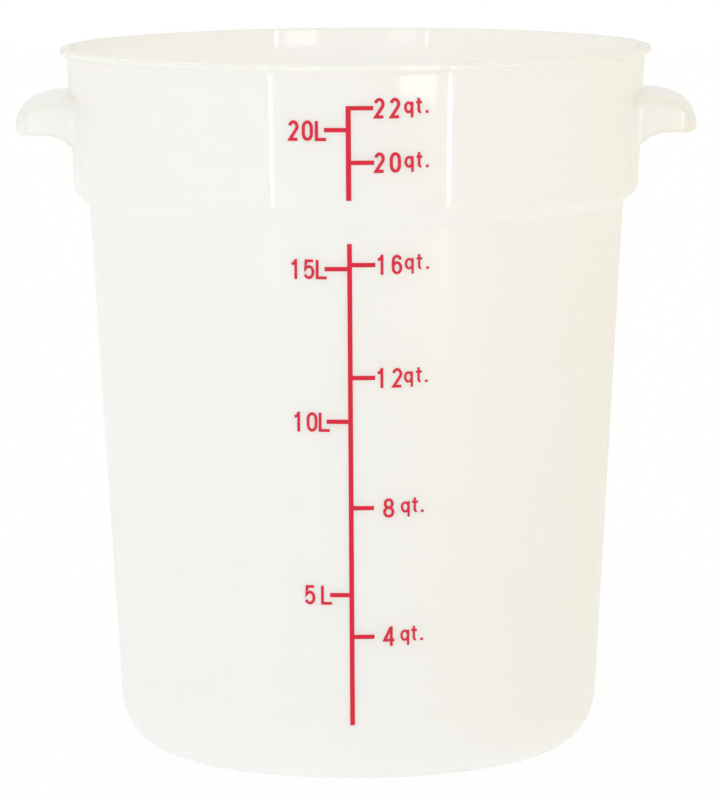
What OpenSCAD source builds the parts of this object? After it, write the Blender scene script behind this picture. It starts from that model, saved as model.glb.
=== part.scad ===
// Round dough proofing tub, moulded in one piece with two hollow lug handles,
// with a printed fill scale on the front. Z is up, the foot stands on z = 0,
// the handles point along X and the scale faces -Y.

/* [Tub] */
// Height from the foot to the top of the lip
height = 382.6; // [360:0.2:430]
// Wall thickness
wall = 2.8; // [2.2:0.1:3.4]
// Floor thickness
floor_t = 3.2; // [2.6:0.1:4.4]

/* [Lower body] */
// Height of the crease under the shoulder
crease_z = 298.4; // [260:0.2:305]
// How far the wall leans in from the crease down to the ground, on each side
body_taper = 16.75; // [8:0.05:26]
// Outer radius from the wall into the foot
base_round = 30.5; // [18:0.5:36]
// Depth of the recess inside the foot ring
recess_depth = 0.9; // [0.5:0.1:1.6]
// Width of the flat ring that touches the ground
foot_ring_w = 9; // [6:0.5:16]
// Diameter of the moulding gate's mark in the middle of the recess
gate_d = 7; // [4:0.5:12]

/* [Collar] */
// Outer diameter at the foot of the collar
collar_d = 304.7; // [270:0.1:340]
// How far the collar leans out up to the lip, on each side
collar_flare = 3.55; // [0.5:0.05:8]
// How far the shoulder stands out from the crease, on each side
shoulder_out = 8.1; // [6:0.1:12]
// Rise of the sloped step from the crease to the collar
shoulder_rise = 7.5; // [5:0.5:10]
// Outer radius at the foot of the collar
shoulder_round = 5; // [3:0.5:6]
// Radius in the crease under the shoulder
crease_round = 2; // [1:0.5:4]

/* [Lip] */
// How far the lip stands out from the collar, on each side
lip_reach = 3.5; // [2.8:0.1:8]
// Thickness of the lip at its outer edge
lip_t = 3.1; // [2.6:0.1:4.5]
// Extra thickness of the lip at its root
lip_drop = 1.3; // [0.5:0.1:2.5]

/* [Handles] */
// Distance from the tub's top down to the top of each handle
handle_drop = 25.2; // [16:0.2:40]
// Height of each handle's skirt
handle_h = 19.3; // [16:0.1:26]
// Reach of each handle beyond the collar
handle_reach = 29.4; // [24:0.1:36]
// Width of each handle
handle_w = 92; // [76:1:110]
// Wall thickness of each handle
handle_wall = 2.6; // [2:0.1:3.4]
// Radius from the top of a handle into its skirt
dome_round = 16.5; // [10:0.5:18]
// Radius along the two ends of a handle
end_round = 6; // [4:0.5:8]
// Radius where a handle's ends sweep into the collar
root_round = 7; // [4:0.5:10]
// Radius of the webs that run from the skirt down to the collar
web_round = 18; // [10:0.5:22]

/* [Printed scale] */
// Thickness of the ink
ink_t = 0.1; // [0.05:0.01:0.3]
// Angle of the scale's stem to the left of the front
scale_turn = 1.45; // [0:0.05:5]
// Width of the stem on the collar
upper_stem_w = 2.7; // [1.5:0.1:4]
// Width of the stem on the lower body
lower_stem_w = 2.5; // [1.5:0.1:4]
// Thickness of each tick
tick_t = 2.3; // [1:0.1:4]
// Length of each quart tick from the stem's middle
quart_tick = 13; // [8:0.5:24]
// Length of each litre tick from the stem's middle
litre_tick = 13; // [8:0.5:24]
// Gap between the upper end of the collar's stem and the lip
lip_stem_gap = 16.85; // [4:0.05:30]
// Gap between the lower end of the collar's stem and the collar's foot
upper_stem_gap = 6.4; // [4:0.1:12]
// Gap between the upper end of the lower stem and the crease
lower_stem_gap = 9.2; // [3:0.1:20]
// Gap between the lower end of the lower stem and the foot's radius
foot_stem_gap = 3.7; // [1:0.1:40]

/* [Hidden] */
$fn = 96;

// Each tick: its volume, how far the print strays above the level it names, and
// how far it strays from its length
quart_ticks = [
    [4, 0.5, -1.2], [8, -0.9, -1.1], [12, 1.8, -0.1],
    [16, -1.7, 0.3], [20, -4.0, 0.2], [22, -2.0, -0.1]
];
litre_ticks = [[5, -0.1, -1.6], [10, 2.0, -0.5], [15, -1.5, 0], [20, -2.0, -0.5]];
quart = 0.946353;
litre = 1e6;

arc_step = 7.5;
recess_round = 1;
gate_h = 0.4;
neck_round = 1.6;
tip_round = 0.7;
lip_round = 1.4;
mouth_round = 1;

collar_z = crease_z + shoulder_rise;
lip_z = height - lip_t - lip_drop;
foot_tilt = body_taper / crease_z;
collar_tilt = collar_flare / (lip_z - collar_z);

collar = [collar_d / 2, collar_z];
crease = [collar.x - shoulder_out, crease_z];
foot = [crease.x - body_taper, 0];
neck = [collar.x + collar_flare, lip_z];
lip_r = neck.x + lip_reach;

floor_z = recess_depth + floor_t;
in_crease = offset_corner(foot, crease, collar, wall);
in_collar = offset_corner(crease, collar, neck, wall);
in_foot = [in_crease.x - foot_tilt * (in_crease.y - floor_z), floor_z];
mouth = [in_collar.x + collar_tilt * (height - in_collar.y), height];
in_base_round = base_round - wall;

// Where the foot's radius has come down to the ground
foot_flat_r = foot.x - base_round * tan((90 + atan(foot_tilt)) / 2);
recess_r = foot_flat_r - foot_ring_w;

// Point at distance w on the left of the corner b of the line a, b, c
function offset_corner(a, b, c, w) =
    let (n1 = left_of(b - a), n2 = left_of(c - b))
    b + w * (n1 + n2) / (1 + n1 * n2);
function left_of(v) = [-v.y, v.x] / norm(v);

// Closed outline whose corners [x, y, radius] are rounded
function rounded(path) =
    let (n = len(path))
    [for (i = [0 : n - 1]) each corner_arc(path[(i + n - 1) % n], path[i], path[(i + 1) % n])];
function corner_arc(a, b, c) =
    let (p = [b.x, b.y])
    b[2] == 0 ? [p] :
    let (
        u = unit([a.x, a.y] - p),
        v = unit([c.x, c.y] - p),
        half = acos(u * v) / 2,
        centre = p + unit(u + v) * b[2] / sin(half),
        start = p + u * b[2] / tan(half) - centre,
        turn = (180 - 2 * half) * sign(u.y * v.x - u.x * v.y),
        steps = max(2, ceil(abs(turn) / arc_step))
    )
    [for (i = [0 : steps]) centre + spun(start, turn * i / steps)];
function unit(v) = v / norm(v);
function spun(v, a) = [v.x * cos(a) - v.y * sin(a), v.x * sin(a) + v.y * cos(a)];

// Outer radius of the tub at height z
function outer_r(z) =
    lookup(z, [[foot.y, foot.x], [crease.y, crease.x], [collar.y, collar.x], [neck.y, neck.x]]);

// Inner radius of the tub at height z, with the radius round the floor
function inner_r(z) =
    let (
        straight = lookup(z, [[in_foot.y, in_foot.x], [in_crease.y, in_crease.x],
            [in_collar.y, in_collar.x], [mouth.y, mouth.x]]),
        below = max(0, floor_z + in_base_round - z)
    )
    straight - in_base_round + sqrt(in_base_round ^ 2 - min(below, in_base_round) ^ 2);

// Volume held below each height, in litres, and the height that a volume fills to
slices = 240;
slice_h = (height - floor_z) / slices;
function slice_v(i) = PI * inner_r(floor_z + (i + 0.5) * slice_h) ^ 2 * slice_h / litre;
fill_table = [
    for (i = 0, v = 0; i <= slices; v = v + slice_v(i), i = i + 1)
        [v, floor_z + i * slice_h]
];
function fill_z(litres) = lookup(litres, fill_table);

// Height of the middle of a tick, and whether a stem reaches it
function quart_z(tick) = fill_z(tick[0] * quart) + tick[1];
function litre_z(tick) = fill_z(tick[0]) + tick[1];
function on_stem(z, low, high) = z > low && z < high;

// Corners of the tub's outer face, from the foot up to the lip
outer_corners = [
    [foot.x, foot.y, base_round],
    [crease.x, crease.y, crease_round],
    [collar.x, collar.y, shoulder_round],
    [neck.x, neck.y, neck_round],
    [lip_r, height - lip_t, tip_round],
    [lip_r, height, lip_round]
];

// Cross-section of the tub on the right of its axis
tub_outline = rounded([
    [0, recess_depth - gate_h, 0],
    [gate_d / 2, recess_depth - gate_h, 0],
    [gate_d / 2, recess_depth, 0],
    [recess_r - recess_depth, recess_depth, recess_round],
    [recess_r, 0, 0],
    each outer_corners,
    [mouth.x, mouth.y, mouth_round],
    [in_collar.x, in_collar.y, shoulder_round - wall / 2],
    [in_crease.x, in_crease.y, crease_round + wall],
    [in_foot.x, in_foot.y, in_base_round],
    [0, floor_z, 0]
]);

module tub()
{
    color([0.95, 0.95, 0.92, 0.75])
    rotate_extrude()
        polygon(tub_outline);
}

// Where a handle sits: radius of the collar behind it and of its own skirt
handle_top = height - handle_drop;
handle_z = handle_top - handle_h;
seat_r = outer_r(handle_top - handle_h / 2);
skirt_r = seat_r + handle_reach;
half_w = handle_w / 2;

// Axis of the vertical radius where a handle's end meets the collar
root_y = half_w + root_round;
root_x = sqrt((seat_r + root_round) ^ 2 - root_y ^ 2);
// Middle of the webs' arc
web_x = sqrt(seat_r ^ 2 - half_w ^ 2) + web_round;
web_z = handle_z - web_round;

// Half a slab, from the middle to x = edge, with its upper outer corner rounded
module slab_half(edge, low, top, r)
{
    difference() {
        translate([0, low]) square([edge, top - low]);
        translate([edge - r, top - r]) difference() {
            square(r + 1);
            circle(r);
        }
    }
}

// Solid lug, inset on all sides by t, reaching down to z = low
module lug(t, low)
{
    corner = end_round - t;
    edge = half_w - t;
    corner_y = edge - corner;
    corner_x = sqrt((skirt_r - t - corner) ^ 2 - corner_y ^ 2);
    intersection() {
        rotate_extrude()
            slab_half(skirt_r - t, low, handle_top - t, dome_round - t);
        rotate([90, 0, 90]) linear_extrude(skirt_r) {
            slab_half(edge, low, handle_top - t, corner);
            mirror([1, 0]) slab_half(edge, low, handle_top - t, corner);
        }
        translate([0, 0, low - 1]) linear_extrude(handle_top - low + 2) {
            translate([0, -corner_y]) square([skirt_r + 1, 2 * corner_y]);
            translate([0, -edge]) square([corner_x, 2 * edge]);
            for (side = [-1, 1]) translate([corner_x, side * corner_y]) circle(corner);
        }
    }
}

// Sweep of a handle's end into the collar, on the side towards +Y
module root_sweep()
{
    difference() {
        translate([0, 0, web_z]) linear_extrude(handle_top - web_z)
            polygon([[0, 0], [root_x, 0], [root_x, root_y]]);
        translate([root_x, root_y, 0]) rotate_extrude() {
            translate([0, web_z - 1]) square([root_round, handle_top - web_z + 2]);
            translate([0, handle_top - end_round]) difference() {
                square([root_round + end_round, end_round + 1]);
                translate([root_round + end_round, 0]) circle(end_round);
            }
        }
    }
}

// Side view of what may stand: the skirt's height, and the webs' hollow arc
module side_view()
{
    difference() {
        translate([0, web_z]) square([skirt_r + 1, handle_top - web_z + 1]);
        translate([web_x, web_z - 1]) square([skirt_r, web_round + 1]);
        translate([web_x, web_z]) circle(web_round);
    }
}

// Everything inside the tub's outer face
module tub_core()
{
    rotate_extrude()
        polygon(rounded([[0, foot.y, 0], each outer_corners, [0, height, 0]]));
}

module handle()
{
    color([0.9, 0.9, 0.88, 0.8])
    difference() {
        intersection() {
            union() {
                lug(0, web_z);
                root_sweep();
                mirror([0, 1, 0]) root_sweep();
            }
            translate([0, skirt_r, 0]) rotate([90, 0, 0]) linear_extrude(2 * skirt_r) side_view();
        }
        lug(handle_wall, web_z - 1);
        tub_core();
    }
}

module left_handle()
{
    mirror([1, 0, 0]) handle();
}

module right_handle()
{
    handle();
}

// Film of ink on the tub between two heights
module ink_skin(low, high)
{
    rotate_extrude() polygon([
        [outer_r(low), low],
        [outer_r(low) + ink_t, low],
        [outer_r(high) + ink_t, high],
        [outer_r(high), high]
    ]);
}

// Bars of one scale, seen from the front, with the stem's middle at x = 0
module scale_bars(low, high, stem_w)
{
    translate([-stem_w / 2, low]) square([stem_w, high - low]);
    for (tick = quart_ticks) if (on_stem(quart_z(tick), low, high))
        translate([0, quart_z(tick) - tick_t / 2]) square([quart_tick + tick[2], tick_t]);
    for (tick = litre_ticks) if (on_stem(litre_z(tick), low, high))
        translate([-litre_tick - tick[2], litre_z(tick) - tick_t / 2])
            square([litre_tick + tick[2], tick_t]);
}

module scale_print(low, high, stem_w)
{
    color([0.84, 0.13, 0.2])
    rotate([0, 0, -scale_turn])
    intersection() {
        ink_skin(low, high);
        rotate([90, 0, 0]) linear_extrude(lip_r)
            scale_bars(low, high, stem_w);
    }
}

module upper_scale_print()
{
    scale_print(collar_z + upper_stem_gap, lip_z - lip_stem_gap, upper_stem_w);
}

module lower_scale_print()
{
    scale_print(base_round + foot_stem_gap, crease_z - lower_stem_gap, lower_stem_w);
}

tub();
left_handle();
right_handle();
upper_scale_print();
lower_scale_print();
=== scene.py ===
import math

import bmesh
import bpy
from mathutils import Matrix, Vector
from mathutils.geometry import delaunay_2d_cdt


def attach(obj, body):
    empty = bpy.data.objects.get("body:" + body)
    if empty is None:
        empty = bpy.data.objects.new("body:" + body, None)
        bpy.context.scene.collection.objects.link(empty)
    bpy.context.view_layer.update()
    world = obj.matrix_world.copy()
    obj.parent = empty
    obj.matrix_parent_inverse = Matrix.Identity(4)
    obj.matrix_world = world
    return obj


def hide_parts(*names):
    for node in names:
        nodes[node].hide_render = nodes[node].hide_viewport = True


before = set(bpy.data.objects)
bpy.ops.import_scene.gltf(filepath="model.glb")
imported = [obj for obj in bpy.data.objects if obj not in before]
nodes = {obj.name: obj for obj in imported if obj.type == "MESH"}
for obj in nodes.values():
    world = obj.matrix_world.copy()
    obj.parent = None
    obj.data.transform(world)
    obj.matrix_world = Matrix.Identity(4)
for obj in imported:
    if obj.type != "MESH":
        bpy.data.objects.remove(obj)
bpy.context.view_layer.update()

scene = bpy.context.scene
scene.view_settings.view_transform = "Standard"
mm = 0.001


# Colours are written as sRGB hex and turned to linear here
def hexColor(code):
    channels = [int(code[i:i + 2], 16) / 255 for i in (1, 3, 5)]
    linear = [c / 12.92 if c <= 0.04045 else ((c + 0.055) / 1.055) ** 2.4 for c in channels]
    return (*linear, 1)


# Adds one node, sets its properties and plain inputs, and wires the rest
def addNode(tree, kind, settings=None, links=None, **properties):
    node = tree.nodes.new(kind)
    for key, value in properties.items():
        setattr(node, key, value)
    for key, value in (settings or {}).items():
        node.inputs[key].default_value = value
    for key, socket in (links or {}).items():
        tree.links.new(socket, node.inputs[key])
    return node


def newMaterial(name):
    material = bpy.data.materials.new(name)
    material.use_nodes = True
    material.node_tree.nodes.clear()
    return material, material.node_tree


# Natural polypropylene, injection moulded: milky, slightly warm, satin, lets light through
polypropylene = {
    "color": "#FEFEFE",
    "haze": "#FDFDFB",
    # Painted shade: the darker colour laid on where the wall bends tightly
    "bendShadeColor": "#F8F7F1",
    "bendShadeRange": (0.15, 0.6),
    "cloudsPerMetre": 9,
    "polished": 0.045,
    "satin": 0.2,
    "satinBelow": 298,
    "satinBlend": 4,
    "ior": 1.49,
    "scatterDepth": 0.004,
    "scatterShares": (1.0, 0.98, 0.92),
    "throughLight": 0.5,
    "grainSize": 0.9,
    "grainDepth": 0.0006,
}


def makePolypropylene(p):
    material, tree = newMaterial("naturalPolypropylene")
    place = addNode(tree, "ShaderNodeTexCoord")
    clouds = addNode(tree, "ShaderNodeTexNoise", {"Scale": p["cloudsPerMetre"], "Detail": 2},
                     {"Vector": place.outputs["Object"]})
    milky = addNode(tree, "ShaderNodeMix", {6: hexColor(p["color"]), 7: hexColor(p["haze"])},
                    {0: clouds.outputs["Fac"]}, data_type="RGBA")
    # Painted shade: a darker, warmer colour where the wall bends tightly, standing in for the
    # shade at tight bends
    shadedBend = addNode(tree, "ShaderNodeAttribute", attribute_name="shadedBend")
    share = addNode(tree, "ShaderNodeMapRange",
                    {"From Min": p["bendShadeRange"][0], "From Max": p["bendShadeRange"][1]},
                    {"Value": shadedBend.outputs["Fac"]})
    color = addNode(tree, "ShaderNodeMix", {7: hexColor(p["bendShadeColor"])},
                    {0: share.outputs["Result"], 6: milky.outputs[2]}, data_type="RGBA")
    grain = addNode(tree, "ShaderNodeTexNoise",
                    {"Scale": 1 / (p["grainSize"] * mm), "Detail": 3},
                    {"Vector": place.outputs["Object"]})
    bump = addNode(tree, "ShaderNodeBump", {"Strength": 1, "Distance": p["grainDepth"] * mm},
                   {"Height": grain.outputs["Fac"]})
    # The mould is polished above the crease and satin below it
    at = addNode(tree, "ShaderNodeSeparateXYZ", {}, {0: place.outputs["Object"]})
    finish = addNode(tree, "ShaderNodeMapRange",
                     {"From Min": (p["satinBelow"] - p["satinBlend"]) * mm,
                      "From Max": (p["satinBelow"] + p["satinBlend"]) * mm,
                      "To Min": p["satin"], "To Max": p["polished"]}, {"Value": at.outputs["Z"]})
    shell = addNode(tree, "ShaderNodeBsdfPrincipled", {
        "IOR": p["ior"],
        "Subsurface Weight": 1,
        "Subsurface Radius": p["scatterShares"],
        "Subsurface Scale": p["scatterDepth"],
    }, {"Base Color": color.outputs[2], "Roughness": finish.outputs["Result"],
        "Normal": bump.outputs["Normal"]})
    through = addNode(tree, "ShaderNodeBsdfTranslucent", {},
                      {"Color": color.outputs[2], "Normal": bump.outputs["Normal"]})
    both = addNode(tree, "ShaderNodeMixShader", {"Fac": p["throughLight"]},
                   {1: shell.outputs[0], 2: through.outputs[0]})
    addNode(tree, "ShaderNodeOutputMaterial", {}, {"Surface": both.outputs[0]})
    return material


# Red screen ink on plastic: opaque, slightly rough film, a little uneven
screenInk = {
    "color": "#D90C2E",
    "worn": "#CF1C3E",
    "patchSize": 3,
    "roughness": 0.45,
    "gloss": 0.25,
}


def makeScreenInk(p):
    material, tree = newMaterial("redScreenInk")
    place = addNode(tree, "ShaderNodeTexCoord")
    film = addNode(tree, "ShaderNodeTexNoise",
                   {"Scale": 1 / (p["patchSize"] * mm), "Detail": 4},
                   {"Vector": place.outputs["Object"]})
    uneven = addNode(tree, "ShaderNodeMix", {6: hexColor(p["color"]), 7: hexColor(p["worn"])},
                     {0: film.outputs["Fac"]}, data_type="RGBA")
    coat = addNode(tree, "ShaderNodeBsdfPrincipled",
                   {"Roughness": p["roughness"], "Specular IOR Level": p["gloss"]},
                   {"Base Color": uneven.outputs[2]})
    addNode(tree, "ShaderNodeOutputMaterial", {}, {"Surface": coat.outputs[0]})
    return material


moulded = makePolypropylene(polypropylene)
ink = makeScreenInk(screenInk)

for name in ("upper_scale_print", "lower_scale_print"):
    nodes[name].data.materials.clear()
    nodes[name].data.materials.append(ink)
print("materials ready")

# The tub, in mm. Its measures are the solid's. Then come the rounding of sharp edges, how finely
# the skin is divided (turnStep in degrees, sideArc about the turn from a handle to the front)
# and how much its bends darken it with painted shade
tub = {
    "height": 382.6,
    "wall": 2.8,
    "floor": 3.2,
    "collarRadius": 152.35,
    "collarFlare": 3.55,
    "shoulderOut": 8.1,
    "shoulderRise": 7.5,
    "creaseHeight": 298.4,
    "bodyTaper": 16.75,
    "lipReach": 3.5,
    "lipThick": 3.1,
    "lipDrop": 1.3,
    "footRing": 9,
    "recessDepth": 0.9,
    "gateRadius": 3.5,
    "gateDepth": 0.4,
    "baseRound": 30.5,
    "creaseRound": 2,
    "shoulderRound": 5,
    "neckRound": 1.6,
    "tipRound": 0.7,
    "lipRound": 1.4,
    "mouthRound": 1,
    "recessRound": 1,
    "edgeRound": 0.25,
    "longestStep": 30,
    "turnStep": 18,
    "sideColumns": 24,
    "sideArc": math.pi / 2.6,
    "merge": 0.004,
    # Painted shade: how strongly the tub's bends darken its colour, a hollow bend at the share
    # below
    "bendShadeShare": 1.2,
    "hollowShadeShare": 0.3,
}


# Where a wall's inner faces meet, its thickness to the left of its outer corner
def insideCorner(before, corner, after, wall):
    first, second = [Vector((b[1] - a[1], a[0] - b[0])).normalized() * -1
                     for a, b in ((before, corner), (corner, after))]
    return Vector(corner) + wall * (first + second) / (1 + first.dot(second))


# Distances along a straight run of an outline: small steps beside its arcs, growing away
def gradedMarks(length, lead, trail, longest, growth=3, furthest=0.45):
    sides = []
    for step in (lead, trail):
        marks, mark = [], step
        while step < longest and mark < furthest * length:
            marks.append(mark)
            step *= growth
            mark += step
        sides.append(marks)
    low = sides[0][-1] if sides[0] else 0
    high = length - (sides[1][-1] if sides[1] else 0)
    steps = max(1, math.ceil((high - low) / longest))
    middle = [low + (high - low) * step / steps for step in range(1, steps)]
    return sides[0] + middle + [length - mark for mark in reversed(sides[1])]


# Rounds the corners (r, z, radius) of an open outline and divides its straight runs
def outline(corners, p):
    runs = [[Vector(corners[0][:2])]]
    for before, (r, z, radius), after in zip(corners, corners[1:], corners[2:]):
        corner = Vector((r, z))
        toBefore = (Vector(before[:2]) - corner).normalized()
        toAfter = (Vector(after[:2]) - corner).normalized()
        half = toBefore.angle(toAfter) / 2
        centre = corner + (toBefore + toAfter).normalized() * radius / math.sin(half)
        spoke = corner + toBefore * radius / math.tan(half) - centre
        turn = math.copysign(math.pi - 2 * half,
                             toBefore.y * toAfter.x - toBefore.x * toAfter.y)
        steps = max(2, round(math.degrees(abs(turn)) / p["turnStep"]))
        runs.append([centre + Matrix.Rotation(turn * step / steps, 2) @ spoke
                     for step in range(steps + 1)])
    runs.append([Vector(corners[-1][:2])])
    points = [runs[0][0]]
    for before, after in zip(runs, runs[1:]):
        start, end = before[-1], after[0]
        length = (end - start).length
        lead = (before[1] - before[0]).length if len(before) > 1 else p["longestStep"]
        trail = (after[1] - after[0]).length if len(after) > 1 else p["longestStep"]
        points += [start.lerp(end, mark / length)
                   for mark in gradedMarks(length, lead, trail, p["longestStep"])]
        points += after
    return points


# Corners of the tub's section: outside from the ground up, then inside and underneath
collarFoot = tub["creaseHeight"] + tub["shoulderRise"]
lipBase = tub["height"] - tub["lipThick"] - tub["lipDrop"]
crease = (tub["collarRadius"] - tub["shoulderOut"], tub["creaseHeight"])
foot = (crease[0] - tub["bodyTaper"], 0)
collar = (tub["collarRadius"], collarFoot)
neck = (tub["collarRadius"] + tub["collarFlare"], lipBase)
lipEdge = neck[0] + tub["lipReach"]
slope = tub["collarFlare"] / (lipBase - collarFoot)
floorTop = tub["recessDepth"] + tub["floor"]
inCrease = insideCorner(foot, crease, collar, tub["wall"])
inCollar = insideCorner(crease, collar, neck, tub["wall"])
inFoot = inCrease.x - tub["bodyTaper"] / tub["creaseHeight"] * (inCrease.y - floorTop)
mouth = inCollar.x + slope * (tub["height"] - inCollar.y)
lean = math.atan(tub["bodyTaper"] / tub["creaseHeight"])
flatFoot = foot[0] - tub["baseRound"] * math.tan((math.pi / 2 + lean) / 2)
recess = flatFoot - tub["footRing"]
gateLevel = tub["recessDepth"] - tub["gateDepth"]
# Smoothing draws a ring in by this much, so each ring starts that much wider
hold = 4 / (3 + math.cos(tub["sideArc"] / tub["sideColumns"]))


def collarAt(z):
    return tub["collarRadius"] + slope * (z - collarFoot)


def onCollar(turn, z):
    radius = collarAt(z) * hold
    return Vector((radius * math.cos(turn), radius * math.sin(turn), z))


# The hollow lug handle and how it grows out of the collar, in mm. Its piece of the collar
# reaches from foot up to crown
lug = {
    "top": 357.4,
    "skirtHeight": 19.3,
    "reach": 29.4,
    "halfWidth": 46,
    "wall": 2.6,
    "domeRound": 16.5,
    "endRound": 6,
    "rootRound": 7,
    "webRound": 18,
    "topFillet": 1.5,
    "innerFillet": 1.2,
    "rimRound": 0.7,
    "foot": 319,
    "crown": 365,
    "flatColumns": 6,
    "rootStep": 5,
    "domeSteps": (4.5, 8.2),
    "sideRows": 8,
    "blend": 8,
    # Painted shade: how strongly the handles' bends darken their colour
    "bendShadeShare": 3,
}

# One half of a handle, from its middle to the end towards +Y. The skirt hangs from the dome,
# the webs run down from it in an arc, and a sweep leads from each end into the collar
shoulder = lug["top"] - lug["endRound"]
bottom = lug["top"] - lug["skirtHeight"]
seat = collarAt(lug["top"] - lug["skirtHeight"] / 2)
skirt = seat + lug["reach"]
flat = lug["halfWidth"] - lug["endRound"]
cornerRadius = skirt - lug["endRound"]
cornerX = math.sqrt(cornerRadius ** 2 - flat ** 2)
cornerTurn = math.atan2(flat, cornerX)
domeMiddle = skirt - lug["domeRound"]
domeX = math.sqrt(domeMiddle ** 2 - flat ** 2)
rootY = lug["halfWidth"] + lug["rootRound"]
webX = math.sqrt(seat ** 2 - lug["halfWidth"] ** 2) + lug["webRound"]
webZ = bottom - lug["webRound"]


# Centre of the sweep between a handle's end and the collar, which leans
def rootAt(z):
    return Vector((math.sqrt((collarAt(z) + lug["rootRound"]) ** 2 - rootY ** 2), rootY))


def rootTurn(z):
    return math.atan2(*rootAt(z).yx)


# Points round an edge are at the sines of 30, 60 and 90 degrees. A fillet's points stand these
# shares of its radius up the collar and out from it
rise = [0.5, math.sqrt(0.75), 1]
filletUp, filletOut = (1, 0.29, 0, 0), (0, 0.29, 1, 1)
# Across a handle's rim: share of the wall's thickness and of the rim's round
rimShape = ((0, 0), (0.09, 0.7), (0.5, 1), (0.91, 0.7), (1, 0))
# The same where the rim ends on the collar, as shares of the way in
rimFoot = (0, 0.2, 0.5, 0.8, 1)

# Columns run along a handle's top and over its end; rows run out to the skirt, first those of
# the fillet, then those of the top, then those round the skirt's edge
flatY = [flat * j / lug["flatColumns"] for j in range(lug["flatColumns"] + 1)]
topX = [rootAt(shoulder).x, rootAt(shoulder).x + lug["rootStep"], domeX,
        *(domeX + step for step in lug["domeSteps"]), cornerX]
lastFlat = lug["flatColumns"]
lastColumn = lastFlat + len(rise)
lastFillet = len(filletUp) - 1
lastTop = lastFillet + len(topX)
lastRow = lastTop + len(rise)
innerEdge = lug["endRound"] - lug["wall"] - lug["innerFillet"]
flatTurns = [math.asin(y / seat) for y in flatY]
innerTurns = flatTurns + [math.asin((flat + innerEdge * v) / seat) for v in rise]


# How far a column is round the end's edge, from 0 on top to 1 on the end's face
def endShare(j):
    return 0 if j <= lastFlat else rise[j - lastFlat - 1]


# Height at which column j of a handle's top meets the collar, up its fillet's row k
def filletLevel(j, k, inset):
    fillet = -lug["innerFillet"] if inset else lug["topFillet"]
    return shoulder + ((lug["endRound"] - inset + fillet * filletUp[k])
                       * math.sqrt(1 - endShare(j) ** 2))


# Fillet between the flat of a handle's top, or all of its inside, and the collar
def filletPoint(j, k, inset):
    high = filletLevel(j, k, inset)
    if k == 0:
        return onCollar(innerTurns[j] if inset else flatTurns[j], high)
    off = (lug["innerFillet"] if inset else lug["topFillet"]) * filletOut[k]
    y = flatY[min(j, lastFlat)] + (lug["endRound"] - inset - (off if k == 1 else 0)) * endShare(j)
    near = Vector((math.sqrt(collarAt(high) ** 2 - y * y) + off, y, high))
    return near.lerp(topPoint(j, k + 1, inset), 0.5) if k == lastFillet else near


# Sweep round the root of a handle's end, from where it meets the collar
def sweepPoint(j, k):
    high = filletLevel(j, k, 0)
    reach = lug["rootRound"] + lug["endRound"] * (1 - endShare(j))
    radius, root = collarAt(high), rootAt(high)
    apart = radius + lug["rootRound"]
    away = math.acos(min(1, (radius ** 2 + apart ** 2 - reach ** 2) / (2 * radius * apart)))
    beside = rootTurn(high) - away
    if k == 0:
        return onCollar(beside, high)
    start = Vector((radius * math.cos(beside), radius * math.sin(beside)))
    turn = math.atan2(start.y - root.y, start.x - root.x)
    turn += (-math.pi / 2 - turn) * k / (lastFillet + 1)
    return Vector((root.x + reach * math.cos(turn), root.y + reach * math.sin(turn), high))


# How far an arc of this radius has come down at a distance from its top
def drop(radius, off):
    off = min(max(off, 0), radius)
    return radius - math.sqrt(radius ** 2 - off ** 2)


# Point of a handle's top, outside (inset 0) or inside: column j, row k
def topPoint(j, k, inset):
    if k <= lastFillet:
        return filletPoint(j, k, inset) if inset or j <= lastFlat else sweepPoint(j, k)
    endRound, domeRound = lug["endRound"] - inset, lug["domeRound"] - inset
    v = endShare(j)
    if k <= lastTop:
        x, y = topX[k - lastFillet - 1], flat + endRound * v
        if j <= lastFlat:
            y = flatY[j]
            x = math.sqrt(math.hypot(x, flat) ** 2 - y ** 2)
    elif j <= lastFlat:
        y = flatY[j]
        x = math.sqrt((cornerRadius + endRound * rise[k - lastTop - 1]) ** 2 - y ** 2)
    else:
        u = rise[k - lastTop - 1]
        across, along = u * math.sqrt(1 - v * v / 2), v * math.sqrt(1 - u * u / 2)
        turn = cornerTurn + math.atan2(along, across) * (1 - cornerTurn / (math.pi / 2))
        reach = endRound * math.hypot(across, along)
        x, y = cornerX + reach * math.cos(turn), flat + reach * math.sin(turn)
    # The dome's drop and the end's, blended where both come down
    sink = (drop(domeRound, math.hypot(x, y) - domeMiddle) ** lug["blend"]
            + drop(endRound, y - flat) ** lug["blend"]) ** (1 / lug["blend"])
    return Vector((x, y, lug["top"] - inset - min(sink, domeRound)))


# How far down a handle's end reaches at x, before its rim turns in
def sideFoot(x):
    off = max(webX - x, 0)
    return webZ + math.sqrt(max((lug["webRound"] + lug["rimRound"]) ** 2 - off ** 2, 0))


# A handle's side below the edge point (j, k) of its top, share of the way down
def sidePoint(j, k, inset, share):
    edge = topPoint(j, k, inset)

    def downTo(low):
        return edge.z + (low - edge.z) * share

    def leanAt(z):
        return rootAt(z).x - rootAt(edge.z).x

    if k == 0:
        z = downTo(lug["foot"])
        return onCollar(innerTurns[-1] if inset else rootTurn(z), z)
    z = downTo(bottom + lug["rimRound"] if j < lastColumn else sideFoot(edge.x))
    if not inset and k <= lastFillet + 1:
        z = downTo(sideFoot(edge.x + leanAt(z)))
        return Vector((edge.x + leanAt(z), edge.y, z))
    if inset and k < lastFillet:
        x = math.sqrt(collarAt(z) ** 2 - edge.y ** 2) + lug["innerFillet"] * filletOut[k]
        return Vector((x, edge.y, downTo(sideFoot(x))))
    return Vector((edge.x, edge.y, z))


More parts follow.
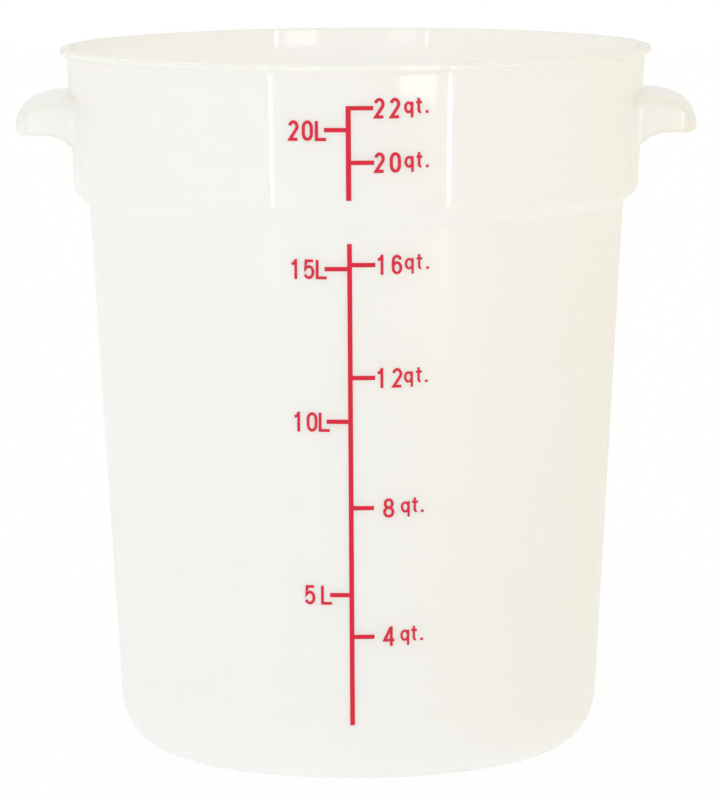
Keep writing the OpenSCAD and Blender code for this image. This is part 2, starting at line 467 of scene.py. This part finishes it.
# Across a handle's rim below the edge point (j, k), from the outside in
def rimPoints(j, k):
    if k == 0:
        start = rootTurn(lug["foot"])
        turns = [start + (innerTurns[-1] - start) * share for share in rimFoot]
        return [onCollar(turn, lug["foot"]) for turn in turns]
    outer, inner = sidePoint(j, k, 0, 1), sidePoint(j, k, lug["wall"], 1)
    off = 0
    if j == lastColumn:
        off = max(webX - (outer.x + inner.x) / 2, 0) / (lug["webRound"] + lug["rimRound"])
        off = min(off, 1)
    out = Vector((off, 0, -math.sqrt(1 - off * off))) * lug["rimRound"]
    return [outer.lerp(inner, share) + out * proud for share, proud in rimShape]


# A handle's top and sides, outside and inside, and its rim
def handlePatches():
    steps = lug["sideRows"]
    stations = ([(j, lastRow) for j in range(lastColumn)]
                + [(lastColumn, k) for k in range(lastRow, -1, -1)])
    patches = []
    for inset in (0, lug["wall"]):
        patches.append([[topPoint(j, k, inset) for j in range(lastColumn + 1)]
                        for k in range(lastRow + 1)])
        patches.append([[sidePoint(j, k, inset, i / steps) for j, k in stations]
                        for i in range(steps + 1)])
    patches.append([list(column) for column in zip(*[rimPoints(j, k) for j, k in stations])])
    return patches


# Directions of the columns from a handle's end to the front
def sideTurns(z):
    start = rootTurn(z)
    return [start + (math.pi / 2 - start) * step / tub["sideColumns"]
            for step in range(tub["sideColumns"] + 1)]


# An outline turned about the tub's axis
def turned(profile, turns):
    rings = [(min(r * hold, lipEdge), z) for r, z in profile]
    return [[Vector((r * math.cos(turn), r * math.sin(turn), z)) for turn in turns]
            for r, z in rings]


# Collar inside a handle, beside it and above it, then the tub below and above that band
def tubPatches():
    steps, edge = lug["sideRows"], tub["edgeRound"]
    outerLoop = [topPoint(j, 0, 0) for j in range(lastColumn + 1)]
    innerLoop = [topPoint(j, 0, lug["wall"]) for j in range(lastColumn + 1)]
    upperTurns = [math.atan2(point.y, point.x) for point in outerLoop] + sideTurns(shoulder)[1:]
    rimTurns = [math.atan2(point.y, point.x) for point in rimPoints(lastColumn, 0)]
    lowerTurns = innerTurns + rimTurns[-2:0:-1] + sideTurns(lug["foot"])
    levels = [point.z for point in outerLoop] + [shoulder] * tub["sideColumns"]
    inside = [[onCollar(turn, loop.z + (lug["foot"] - loop.z) * i / steps)
               for turn, loop in zip(innerTurns, innerLoop)] for i in range(steps + 1)]
    beside = [[onCollar(turn, z) for turn in sideTurns(z)] for z in
              [shoulder + (lug["foot"] - shoulder) * i / steps for i in range(steps + 1)]]
    over = [[onCollar(turn, level + (lug["crown"] - level) * share)
             for turn, level in zip(upperTurns, levels)] for share in (0, 0.5, 1)]
    below = outline([
        (0, gateLevel), (tub["gateRadius"], gateLevel, edge / 2),
        (tub["gateRadius"], tub["recessDepth"], edge / 2),
        (recess - tub["recessDepth"], tub["recessDepth"], tub["recessRound"]),
        (recess, 0, edge), (*foot, tub["baseRound"]), (*crease, tub["creaseRound"]),
        (*collar, tub["shoulderRound"]), (collarAt(lug["foot"]), lug["foot"])], tub)
    above = outline([
        (collarAt(lug["crown"]), lug["crown"]), (*neck, tub["neckRound"]),
        (lipEdge, tub["height"] - tub["lipThick"], tub["tipRound"]),
        (lipEdge, tub["height"], tub["lipRound"]), (mouth, tub["height"], tub["mouthRound"]),
        (*inCollar, tub["shoulderRound"] - tub["wall"] / 2),
        (*inCrease, tub["creaseRound"] + tub["wall"]),
        (inFoot, floorTop, tub["baseRound"] - tub["wall"]), (0, floorTop)], tub)
    return [inside, beside, over, turned(below, lowerTurns), turned(above, upperTurns)]


# How tightly the wall bends at each point, per mm, for the painted shade at bends; a hollow bend
# less so
def markShadedBends(shape, shadedBend):
    tightness = {}
    for edge in shape.edges:
        first, second = [face.calc_center_median() for face in edge.link_faces]
        turn = edge.calc_face_angle_signed()
        turn = turn if turn > 0 else -turn * tub["hollowShadeShare"]
        tightness[edge] = turn / ((first - second).length / mm)
    for vert in shape.verts:
        vert[shadedBend] *= max(tightness[edge] for edge in vert.link_edges)


# Tub, handles and webs in a single skin, as the real moulding: one quarter, mirrored into four
def buildMoulding():
    patches = [(patch, lug["bendShadeShare"]) for patch in handlePatches()]
    patches += [(patch, tub["bendShadeShare"]) for patch in tubPatches()]
    shape = bmesh.new()
    # Painted shade: each point carries how much its bend darkens the colour
    shadedBend = shape.verts.layers.float.new("shadedBend")
    for flipX, flipY in ((1, 1), (-1, 1), (1, -1), (-1, -1)):
        for patch, bendShadeShare in patches:
            grid = [[shape.verts.new((point.x * flipX * mm, point.y * flipY * mm, point.z * mm))
                     for point in line] for line in patch]
            for vert in sum(grid, []):
                vert[shadedBend] = bendShadeShare
            for near, far in zip(grid, grid[1:]):
                for a, b, c, d in zip(near, near[1:], far[1:], far):
                    shape.faces.new((a, b, c, d))
    bmesh.ops.remove_doubles(shape, verts=shape.verts, dist=tub["merge"] * mm)
    bmesh.ops.recalc_face_normals(shape, faces=shape.faces)
    markShadedBends(shape, shadedBend)
    mesh = bpy.data.meshes.new("moulding")
    shape.to_mesh(mesh)
    shape.free()
    return mesh


def makeMoulding():
    holder = bpy.data.objects.new("moulded_container", buildMoulding())
    scene.collection.objects.link(holder)
    smooth = holder.modifiers.new("smooth", "SUBSURF")
    smooth.levels = smooth.render_levels = 1
    holder.data.materials.append(moulded)
    holder.data.polygons.foreach_set("use_smooth", [True] * len(holder.data.polygons))
    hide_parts("tub", "left_handle", "right_handle")
    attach(holder, "root")


makeMoulding()
print("moulding ready")

# Printed numbers: gothic figures, in mm, with arcStep in degrees. A wall is its radius at the
# ground and its lean. Each row is its text, the height of its middle, and how far round the wall
# from the front each character starts
figures = {
    "upperLine": 1.7,
    "lowerLine": 1.5,
    "film": 0.1,
    "sunk": 0.03,
    "longestEdge": 1.4,
    "arcStep": 12,
    "tolerance": 1e-4,
    "merge": 0.001,
    "unitLift": 2.3,
    "unitLine": 0.85,
    "upperWall": (137.33, 0.0491),
    "lowerWall": (127.5, 0.05613),
    "upperHigh": 10.7,
    "lowerHigh": 10.35,
    "upperRows": [
        ("22qt.", 360.1, (9.3, 17.4, 24.7, 30.7, 35.3)),
        ("20qt.", 332.0, (9.3, 17.3, 24.8, 30.8, 35.3)),
        ("20L", 348.6, (-35.1, -28.0, -21.2)),
    ],
    "lowerRows": [
        ("16qt.", 278.2, (10.7, 18.0, 24.9, 30.9, 35.6)),
        ("12qt.", 218.8, (10.4, 18.2, 24.3, 30.4, 34.8)),
        ("8qt.", 150.1, (13.2, 22.4, 28.2, 32.4)),
        ("4qt.", 81.7, (13.3, 21.9, 27.5, 31.9)),
        ("15L", 275.9, (-34.2, -27.6, -21.2)),
        ("10L", 195.7, (-33.2, -26.5, -20.2)),
        ("5L", 103.9, (-28.2, -19.5)),
    ],
}


# Points along an upright oval's outline, from one angle to another
def bow(x, y, reachX, reachY, start, end):
    steps = max(4, round(abs(end - start) / figures["arcStep"]))
    turns = [math.radians(start + (end - start) * step / steps) for step in range(steps + 1)]
    return [(x + reachX * math.cos(turn), y + reachY * math.sin(turn)) for turn in turns]


# Two halves, so that each stroke stays open
def ring(x, y, reachX, reachY):
    return [bow(x, y, reachX, reachY, 90, 270), bow(x, y, reachX, reachY, -90, 90)]


# Each character: width in mm, height in mm for the small unit and None for a figure's own, and
# its strokes' middle lines in a unit square
characters = {
    "0": (4.2, None, [bow(0.5, 0.66, 0.5, 0.34, 0, 180) + bow(0.5, 0.34, 0.5, 0.34, 180, 270),
                      bow(0.5, 0.34, 0.5, 0.34, 270, 360) + [(1, 0.66)]]),
    "1": (1.7, None, [[(1, -0.09), (1, 1.1)], [(-0.3, 0.8), (0.4, 0.84), (1, 1.0)]]),
    "2": (3.8, None, [bow(0.5, 0.73, 0.5, 0.27, 168, -28) + [(0.02, 0), (1.06, 0)]]),
    "4": (4.2, None, [[(0.76, -0.08), (0.76, 1.09)], [(0.68, 1.02), (-0.08, 0.27), (1.16, 0.27)]]),
    "5": (4.2, None, [[(1.02, 1), (0.14, 1)] + bow(0.48, 0.33, 0.52, 0.33, 138, -155)]),
    "6": (4.2, None, [bow(0.52, 0.72, 0.46, 0.28, 14, 180) + [(0.04, 0.31)],
                      *ring(0.52, 0.31, 0.48, 0.31)]),
    "8": (4.4, None, [*ring(0.5, 0.76, 0.43, 0.24), *ring(0.5, 0.26, 0.5, 0.26)]),
    "L": (4.5, None, [[(0, 1.06), (0, 0), (1.12, 0)]]),
    "q": (3.5, 4.85, [*ring(0.49, 0.5, 0.49, 0.5), [(1, 1.1), (1, -0.58)]]),
    "t": (2.4, 6.8, [[(0.42, 1.08)] + bow(0.80, 0.15, 0.38, 0.15, 180, 285),
                     [(-0.15, 0.74), (1.12, 0.74)]]),
    ".": (1.6, 1, [[(0, 0.1), (1, 0.1)]]),
}


# A stroke's outline: its middle line thickened, with square ends and mitred corners
def strokeOutline(points, half):
    dense = [Vector(points[0])]
    for point in points[1:]:
        start, end = dense[-1], Vector(point)
        steps = max(1, math.ceil((end - start).length / figures["longestEdge"]))
        dense += [start.lerp(end, step / steps) for step in range(1, steps + 1)]
    sides = [[], []]
    for number, point in enumerate(dense):
        before = point - dense[number - 1] if number else dense[1] - point
        after = dense[number + 1] - point if number + 1 < len(dense) else before
        first, second = before.normalized(), after.normalized()
        out = Vector((-(first.y + second.y), first.x + second.x)) / (1 + first.dot(second))
        sides[0].append(point + half * out)
        sides[1].append(point - half * out)
    return sides[1] + sides[0][::-1]


# All rows as one flat film, its overlapping strokes merged
def flatFilm(name, rows, high, line):
    half, smallHalf = line / 2, line / 2 * figures["unitLine"]
    points, outlines = [], []
    for text, middle, starts in rows:
        for character, start in zip(text, starts):
            wide, tall, strokes = characters[character]
            low = middle - high / 2 + half + (0 if tall is None else figures["unitLift"])
            scale = (wide, high - 2 * half if tall is None else tall)
            for stroke in strokes:
                course = [(start + half + x * scale[0], low + y * scale[1]) for x, y in stroke]
                border = strokeOutline(course, half if tall is None else smallHalf)
                outlines.append(list(range(len(points), len(points) + len(border))))
                points += border
    corners, _, faces, _, _, sources = delaunay_2d_cdt(points, [], outlines, 1,
                                                       figures["tolerance"])
    inked = [face for face, source in zip(faces, sources) if source]
    mesh = bpy.data.meshes.new(name)
    mesh.from_pydata([(x * mm, 0, z * mm) for x, z in corners], [], inked)
    clean = bmesh.new()
    clean.from_mesh(mesh)
    bmesh.ops.delete(clean, geom=[v for v in clean.verts if not v.link_faces], context="VERTS")
    clean.to_mesh(mesh)
    clean.free()
    return mesh


# Lays a flat film on the tub's sloping wall and gives it its thickness
def wrapTree():
    tree = bpy.data.node_groups.new("wrapFilm", "GeometryNodeTree")
    face = tree.interface
    face.new_socket("Flat Film", in_out="INPUT", socket_type="NodeSocketGeometry")
    for label in ("Radius At Ground", "Lean", "Thickness", "Sunk"):
        face.new_socket(label, in_out="INPUT", socket_type="NodeSocketFloat")
    face.new_socket("Ink", in_out="INPUT", socket_type="NodeSocketMaterial")
    face.new_socket("Film", in_out="OUTPUT", socket_type="NodeSocketGeometry")
    given = addNode(tree, "NodeGroupInput").outputs
    deep = addNode(tree, "ShaderNodeMath", {}, {0: given["Thickness"], 1: given["Sunk"]})
    front = addNode(tree, "GeometryNodeExtrudeMesh", {"Offset": (0, -1, 0), "Individual": False},
                    {"Mesh": given["Flat Film"], "Offset Scale": deep.outputs[0]})
    rear = addNode(tree, "GeometryNodeFlipFaces", {}, {"Mesh": given["Flat Film"]})
    both = addNode(tree, "GeometryNodeJoinGeometry", {}, {"Geometry": front.outputs["Mesh"]})
    tree.links.new(rear.outputs["Mesh"], both.inputs["Geometry"])
    closed = addNode(tree, "GeometryNodeMergeByDistance", {"Distance": figures["merge"] * mm},
                     {"Geometry": both.outputs["Geometry"]})
    place = addNode(tree, "GeometryNodeInputPosition")
    at = addNode(tree, "ShaderNodeSeparateXYZ", {}, {0: place.outputs[0]}).outputs
    value = {"x": at["X"], "y": at["Y"], "z": at["Z"], "ground": given["Radius At Ground"],
             "slope": given["Lean"], "sunk": given["Sunk"]}
    # Each step: its result, what it does, and what it takes
    for result, operation, *terms in (
            ("lean", "MULTIPLY", "z", "slope"),
            ("wall", "ADD", "ground", "lean"),
            ("turn", "DIVIDE", "x", "wall"),
            ("proud", "ADD", "y", "sunk"),
            ("reach", "SUBTRACT", "wall", "proud"),
            ("sine", "SINE", "turn"),
            ("cosine", "COSINE", "turn"),
            ("across", "MULTIPLY", "reach", "sine"),
            ("ahead", "MULTIPLY", "reach", "cosine")):
        value[result] = addNode(tree, "ShaderNodeMath", {},
                                {number: value[term] for number, term in enumerate(terms)},
                                operation=operation).outputs[0]
    back = addNode(tree, "ShaderNodeMath", {1: -1}, {0: value["ahead"]}, operation="MULTIPLY")
    spot = addNode(tree, "ShaderNodeCombineXYZ", {},
                   {0: value["across"], 1: back.outputs[0], 2: at["Z"]})
    laid = addNode(tree, "GeometryNodeSetPosition", {},
                   {"Geometry": closed.outputs["Geometry"], "Position": spot.outputs[0]})
    real = addNode(tree, "GeometryNodeRealizeInstances", {},
                   {"Geometry": laid.outputs["Geometry"]})
    inked = addNode(tree, "GeometryNodeSetMaterial", {},
                    {"Geometry": real.outputs["Geometry"], "Material": given["Ink"]})
    addNode(tree, "NodeGroupOutput", {}, {"Film": inked.outputs["Geometry"]})
    return tree


def printNumbers(name, rows, high, line, wall):
    holder = bpy.data.objects.new(name, flatFilm(name, rows, high, line))
    scene.collection.objects.link(holder)
    wrap = holder.modifiers.new("wrap", "NODES")
    wrap.node_group = filmTree
    settings = {"Radius At Ground": wall[0] * mm, "Lean": wall[1],
                "Thickness": figures["film"] * mm, "Sunk": figures["sunk"] * mm, "Ink": ink}
    for socket in filmTree.interface.items_tree:
        if socket.name in settings:
            wrap[socket.identifier] = settings[socket.name]
    bpy.context.view_layer.update()
    seen = holder.evaluated_get(bpy.context.evaluated_depsgraph_get())
    laid = bpy.data.meshes.new_from_object(seen)
    holder.modifiers.clear()
    holder.data = laid
    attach(holder, "root")


filmTree = wrapTree()
printNumbers("upper_numbers", figures["upperRows"], figures["upperHigh"], figures["upperLine"],
             figures["upperWall"])
printNumbers("lower_numbers", figures["lowerRows"], figures["lowerHigh"], figures["lowerLine"],
             figures["lowerWall"])
print("numbers printed")

# The camera stands where the photograph was taken
camera = {
    "distance": 3.0,
    "height": 0.5738,
    "pitch": 0.127,
    "roll": -0.005,
    "focalPixels": 5559,
    "centre": (357.253, 397.924),
    "frame": (720, 800),
    "sensorWidth": 36,
}


def makeCamera(p):
    data = bpy.data.cameras.new("camera")
    data.sensor_width = p["sensorWidth"]
    data.lens = p["focalPixels"] * p["sensorWidth"] / max(p["frame"])
    data.shift_x = -(p["centre"][0] - p["frame"][0] / 2) / max(p["frame"])
    data.shift_y = (p["centre"][1] - p["frame"][1] / 2) / max(p["frame"])
    holder = bpy.data.objects.new("camera", data)
    scene.collection.objects.link(holder)
    holder.matrix_world = (Matrix.Translation((0, -p["distance"], p["height"]))
                           @ Matrix.Rotation(math.pi / 2 - p["pitch"], 4, "X")
                           @ Matrix.Rotation(p["roll"], 4, "Z"))
    scene.camera = holder


makeCamera(camera)

# A white tent and pale floor, a little warmer on the right. The strips and softboxes are only
# seen as reflections: place, target, size and power. Each range is the direction, or the place
# on the table in metres, over which a level or tint comes in
studio = {
    "surround": 1.03,
    "behind": 0.845,
    "behindRange": (-0.7, 0.8),
    "overhead": 1.17,
    "overheadRange": (0.2, 1.0),
    "warmSide": "#EAD9A4",
    "warmSideRange": (0.3, 1.0),
    "warmTable": "#F9F4E5",
    "warmTableRange": (0.0, 0.5),
    "floorReach": 6.0,
    "floorPaint": "#FAFAFA",
    "floorGlow": 0.92,
    "tableGlow": 0.9,
    "tableLevel": 1.1,
    "lamps": [
        ("leftStrip", (-0.63, -1.02, 0.4), (0, 0, 0.4), (0.03, 0.8), 0.5),
        ("rightStrip", (0.69, -0.98, 0.4), (0, 0, 0.4), (0.03, 0.8), 1.0),
        ("leftBox", (-0.67, -1.90, 0.55), (0, 0, 0.55), (0.43, 0.8), 3),
        ("rightBox", (0.74, -1.69, 0.473), (0, 0, 0.473), (0.47, 0.8), 6),
    ],
}


def makeWorld(p):
    world = bpy.data.worlds.new("surround")
    world.use_nodes = True
    tree = world.node_tree
    tree.nodes.clear()
    ray = addNode(tree, "ShaderNodeLightPath")
    place = addNode(tree, "ShaderNodeTexCoord")
    at = addNode(tree, "ShaderNodeSeparateXYZ", {}, {0: place.outputs["Generated"]})
    side = addNode(tree, "ShaderNodeMapRange",
                   {"From Min": p["warmSideRange"][0], "From Max": p["warmSideRange"][1]},
                   {"Value": at.outputs["X"]})
    depth = addNode(tree, "ShaderNodeMapRange",
                    {"From Min": p["behindRange"][0], "From Max": p["behindRange"][1],
                     "To Min": p["surround"], "To Max": p["surround"] * p["behind"]},
                    {"Value": at.outputs["Y"]})
    height = addNode(tree, "ShaderNodeMapRange",
                     {"From Min": p["overheadRange"][0], "From Max": p["overheadRange"][1],
                      "To Min": 1, "To Max": p["overhead"]}, {"Value": at.outputs["Z"]})
    level = addNode(tree, "ShaderNodeMath", {}, {0: depth.outputs[0], 1: height.outputs[0]},
                    operation="MULTIPLY")
    warmth = addNode(tree, "ShaderNodeMix", {6: (1, 1, 1, 1), 7: hexColor(p["warmSide"])},
                     {0: side.outputs["Result"]}, data_type="RGBA")
    lit = addNode(tree, "ShaderNodeBackground", {},
                  {"Color": warmth.outputs[2], "Strength": level.outputs[0]})
    seen = addNode(tree, "ShaderNodeBackground", {"Color": (1, 1, 1, 1), "Strength": 1})
    pick = addNode(tree, "ShaderNodeMixShader", {},
                   {0: ray.outputs["Is Camera Ray"], 1: lit.outputs[0], 2: seen.outputs[0]})
    addNode(tree, "ShaderNodeOutputWorld", {}, {"Surface": pick.outputs[0]})
    scene.world = world


def makeFloor(p):
    mesh = bpy.data.meshes.new("floor")
    reach = p["floorReach"]
    mesh.from_pydata([(-reach, -reach, 0), (reach, -reach, 0), (reach, reach, 0),
                      (-reach, reach, 0)], [], [(0, 1, 2, 3)])
    floor = bpy.data.objects.new("floor", mesh)
    scene.collection.objects.link(floor)
    material, tree = newMaterial("paleFloor")
    ray = addNode(tree, "ShaderNodeLightPath")
    paint = addNode(tree, "ShaderNodeBsdfDiffuse", {"Color": hexColor(p["floorPaint"])})
    # The camera sees plain white; the object gets the table's own level, tint and share of glow
    level = addNode(tree, "ShaderNodeMath", {1: 1 - p["tableLevel"], 2: p["tableLevel"]},
                    {0: ray.outputs["Is Camera Ray"]}, operation="MULTIPLY_ADD")
    place = addNode(tree, "ShaderNodeTexCoord")
    at = addNode(tree, "ShaderNodeSeparateXYZ", {}, {0: place.outputs["Object"]})
    side = addNode(tree, "ShaderNodeMapRange",
                   {"From Min": p["warmTableRange"][0], "From Max": p["warmTableRange"][1]},
                   {"Value": at.outputs["X"]})
    unseen = addNode(tree, "ShaderNodeMath", {0: 1}, {1: ray.outputs["Is Camera Ray"]},
                     operation="SUBTRACT")
    cast = addNode(tree, "ShaderNodeMath", {}, {0: side.outputs[0], 1: unseen.outputs[0]},
                   operation="MULTIPLY")
    warmth = addNode(tree, "ShaderNodeMix", {6: (1, 1, 1, 1), 7: hexColor(p["warmTable"])},
                     {0: cast.outputs[0]}, data_type="RGBA")
    glow = addNode(tree, "ShaderNodeEmission", {},
                   {"Color": warmth.outputs[2], "Strength": level.outputs[0]})
    share = addNode(tree, "ShaderNodeMath",
                    {1: p["floorGlow"] - p["tableGlow"], 2: p["tableGlow"]},
                    {0: ray.outputs["Is Camera Ray"]}, operation="MULTIPLY_ADD")
    both = addNode(tree, "ShaderNodeMixShader", {},
                   {0: share.outputs[0], 1: paint.outputs[0], 2: glow.outputs[0]})
    addNode(tree, "ShaderNodeOutputMaterial", {}, {"Surface": both.outputs[0]})
    mesh.materials.append(material)


def addArea(name, place, target, size, power):
    data = bpy.data.lights.new(name, "AREA")
    data.shape = "RECTANGLE"
    data.size, data.size_y = size
    data.energy = power
    lamp = bpy.data.objects.new(name, data)
    scene.collection.objects.link(lamp)
    lamp.visible_diffuse = False
    aim = (Vector(target) - Vector(place)).to_track_quat("-Z", "Y")
    lamp.matrix_world = Matrix.Translation(place) @ aim.to_matrix().to_4x4()


makeWorld(studio)
makeFloor(studio)
for lamp in studio["lamps"]:
    addArea(*lamp)
print("studio ready")
